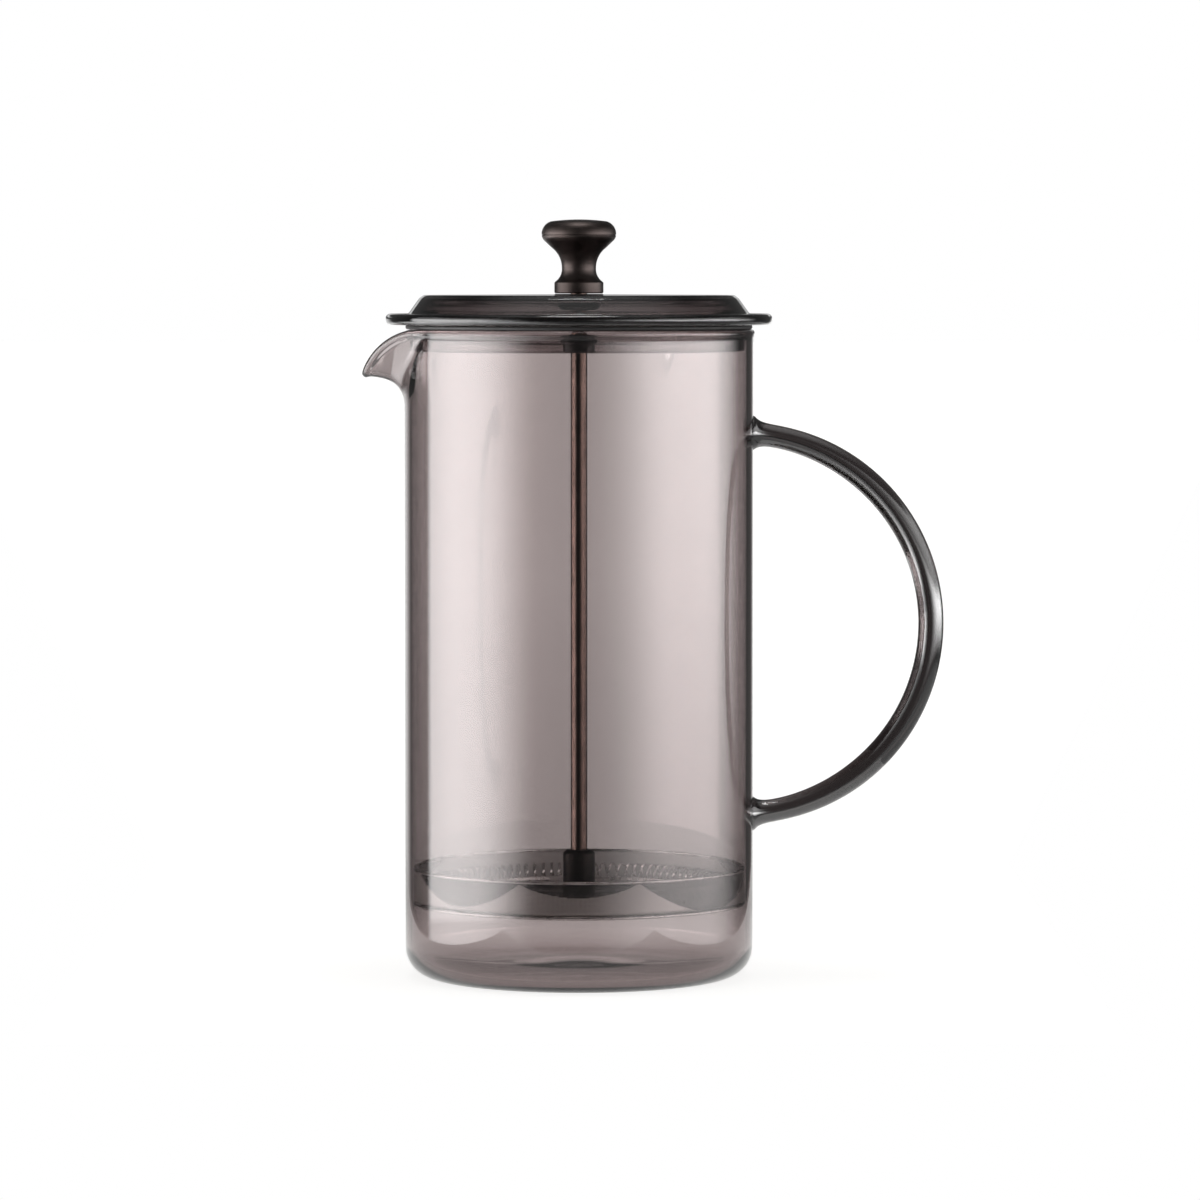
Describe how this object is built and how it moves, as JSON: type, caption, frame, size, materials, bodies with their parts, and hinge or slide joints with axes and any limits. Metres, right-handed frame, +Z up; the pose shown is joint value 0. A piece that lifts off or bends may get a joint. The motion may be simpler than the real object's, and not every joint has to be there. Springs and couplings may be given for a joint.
{
  "type": "french press",
  "caption": "Smoked glass french press: beaker with drooping spout and glass rod handle, domed lid, dark metal knob and plunger with sprung mesh filter.",
  "frame": {"origin": "centre of the underside of the beaker", "axes": "+Z up along the plunger rod, +X towards the handle, -X towards the pouring spout"},
  "size_m": [0.1603, 0.1064, 0.2088],
  "materials": {
    "smoked_glass": "clear polished, grey smoke tint",
    "handle_glass": "clear polished, grey smoke tint",
    "lid_glass": "clear polished, darker smoke tint",
    "insert_glass": "clear polished, grey smoke tint",
    "black_seal": "soft matt",
    "black_bush": "soft satin",
    "black_collar": "satin moulded",
    "clip_steel": "spring steel, satin",
    "wiper_rubber": "soft matt",
    "knob_metal": "gunmetal, satin coated",
    "knob_bumper": "soft matt",
    "rod_metal": "gunmetal, polished",
    "hub_metal": "gunmetal, satin coated",
    "plate_steel": "stamped, bright",
    "spring_steel": "drawn wire, bright",
    "mesh_steel": "woven wire, fine",
    "hem_steel": "folded, satin",
    "rim_steel": "folded, satin",
    "cross_steel": "stamped, bright",
    "washer_steel": "bright",
    "nut_steel": "machined"
  },
  "bodies": {
    "beaker": {"beaker": "smoked_glass", "handle": "handle_glass"},
    "seal": {"lid_seal": "black_seal"},
    "lid": {"lid_cover": "lid_glass", "lid_insert": "insert_glass", "upper_bush": "black_bush"},
    "bush": {"lower_bush": "black_collar", "bush_clip": "clip_steel", "rod_wiper": "wiper_rubber"},
    "plunger": {"knob": "knob_metal", "knob_washer": "knob_bumper", "plunger_rod": "rod_metal", "rod_hub": "hub_metal", "upper_plate": "plate_steel", "edge_spring": "spring_steel", "filter_mesh": "mesh_steel", "mesh_hem": "hem_steel", "mesh_rim": "rim_steel", "lower_plate": "cross_steel", "nut_washer": "washer_steel", "filter_nut": "nut_steel"}
  },
  "joints": [
    {"name": "lid_lift", "type": "slide", "parent": "beaker", "child": "seal", "axis": [0, 0, 1], "range_m": [0, 0.18]},
    {"name": "lid_turn", "type": "hinge", "parent": "seal", "child": "lid", "pos_m": [0, 0, 0.1799], "axis": [0, 0, 1], "continuous": true},
    {"name": "plunger_turn", "type": "hinge", "parent": "lid", "child": "bush", "pos_m": [0, 0, 0.1783], "axis": [0, 0, 1], "continuous": true},
    {"name": "plunger_slide", "type": "slide", "parent": "bush", "child": "plunger", "axis": [0, 0, 1], "range_m": [0, 0.137]}
  ]
}
